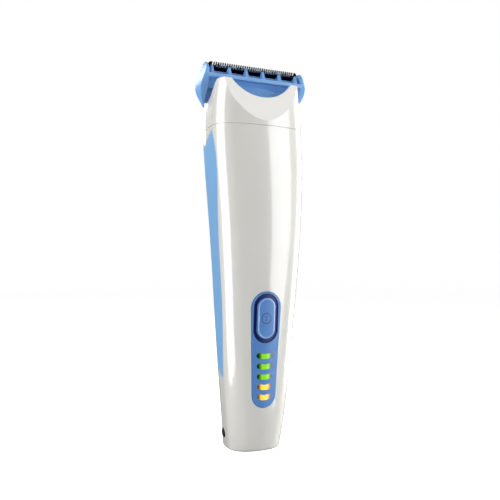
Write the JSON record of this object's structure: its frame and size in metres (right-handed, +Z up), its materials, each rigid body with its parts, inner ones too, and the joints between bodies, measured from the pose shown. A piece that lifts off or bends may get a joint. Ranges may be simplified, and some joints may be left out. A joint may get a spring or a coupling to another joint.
{
  "type": "body groomer",
  "caption": "Cordless body groomer with a tapered handle, side grip, power switch and charge lights, tilting head and lift-off comb blade.",
  "frame": {"origin": "middle of the flat base", "axes": "+Z up along the handle towards the blade, -Y towards the switch side, +X to the right seen from the front"},
  "size_m": [0.0498, 0.0404, 0.168],
  "materials": {
    "shell_white": "glossy moulded",
    "head_blue": "satin moulded",
    "grip_blue": "soft-touch moulded",
    "panel_blue": "fine satin moulded",
    "seal_navy": "moulded",
    "lens_green": "clear moulded, lit",
    "lens_amber": "clear moulded, lit",
    "comb_black": "black coated steel",
    "cutter_steel": "ground",
    "contact_metal": "polished nickel plate",
    "screw_steel": "zinc plated",
    "strip_brass": "stamped",
    "gasket_black": "moulded",
    "chassis_grey": "moulded",
    "cell_wrap": "shrink film",
    "board_green": "solder mask",
    "motor_steel": "drawn can",
    "drive_white": "acetal",
    "spring_steel": "drawn wire"
  },
  "bodies": {
    "handle": {"main_housing": "shell_white", "neck_collar": "shell_white", "bottom_cap": "shell_white", "rear_grip": "grip_blue", "control_panel": "panel_blue", "button_seal": "seal_navy", "bottom_cap_gasket": "gasket_black", "collar_gasket": "gasket_black", "drive_boot": "gasket_black", "contact_seal_left": "gasket_black", "contact_seal_right": "gasket_black", "cap_screw_front": "screw_steel", "cap_screw_rear": "screw_steel", "motor_screw_left": "screw_steel", "motor_screw_right": "screw_steel", "charging_contact_left": "contact_metal", "charging_contact_right": "contact_metal", "charge_strip_left": "strip_brass", "charge_strip_right": "strip_brass", "battery_tab_top": "strip_brass", "battery_tab_bottom": "strip_brass", "chassis_frame": "chassis_grey", "battery_cell": "cell_wrap", "circuit_board": "board_green", "tact_switch": "chassis_grey", "motor_can": "motor_steel", "motor_end_cap": "chassis_grey", "motor_mount": "motor_steel", "lever_pivot_pin": "screw_steel", "pivot_pin_left": "screw_steel", "pivot_pin_right": "screw_steel", "head_spring_left": "spring_steel", "head_spring_right": "spring_steel", "led_lens_1": "lens_amber", "led_chip_1": "drive_white", "led_lens_2": "lens_amber", "led_chip_2": "drive_white", "led_lens_3": "lens_green", "led_chip_3": "drive_white", "led_lens_4": "lens_green", "led_chip_4": "drive_white", "led_lens_5": "lens_green", "led_chip_5": "drive_white"},
    "power_button": {"power_button": "panel_blue"},
    "rotor": {"motor_armature": "motor_steel", "motor_shaft": "motor_steel", "eccentric_cam": "drive_white"},
    "drive_lever": {"drive_lever": "drive_white"},
    "head_frame": {"head_frame": "chassis_grey"},
    "blade_head": {"blade_carrier": "head_blue", "comb_blade": "comb_black", "cutter_spring_left": "spring_steel", "cutter_spring_right": "spring_steel", "comb_rivet_left": "comb_black", "comb_rivet_right": "comb_black"},
    "cutter": {"cutter_blade": "cutter_steel", "cutter_driver": "drive_white"}
  },
  "joints": [
    {"name": "button_press", "type": "slide", "parent": "handle", "child": "power_button", "axis": [0, 1, 0], "range_m": [0, 0.0008], "stiffness_N_per_m": 800},
    {"name": "motor_spin", "type": "hinge", "parent": "handle", "child": "rotor", "pos_m": [0, -0.001, 0.12], "axis": [0, 0, 1], "continuous": true},
    {"name": "lever_swing", "type": "hinge", "parent": "handle", "child": "drive_lever", "pos_m": [0, -0.001, 0.14], "axis": [0, 1, 0], "range_deg": [-5.5, 5.5]},
    {"name": "head_tilt", "type": "hinge", "parent": "handle", "child": "head_frame", "pos_m": [0, -0.001, 0.147], "axis": [-1, 0, 0], "range_deg": [-7, 7], "stiffness_Nm_per_rad": 0.15},
    {"name": "blade_release", "type": "slide", "parent": "head_frame", "child": "blade_head", "axis": [0, 0, 1], "range_m": [0, 0.016]},
    {"name": "cutter_slide", "type": "slide", "parent": "blade_head", "child": "cutter", "axis": [1, 0, 0], "range_m": [-0.0012, 0.0012]}
  ],
  "couplings": [
    {"joint": "cutter_slide", "follows": "lever_swing", "m_per_rad": 0.012}
  ]
}
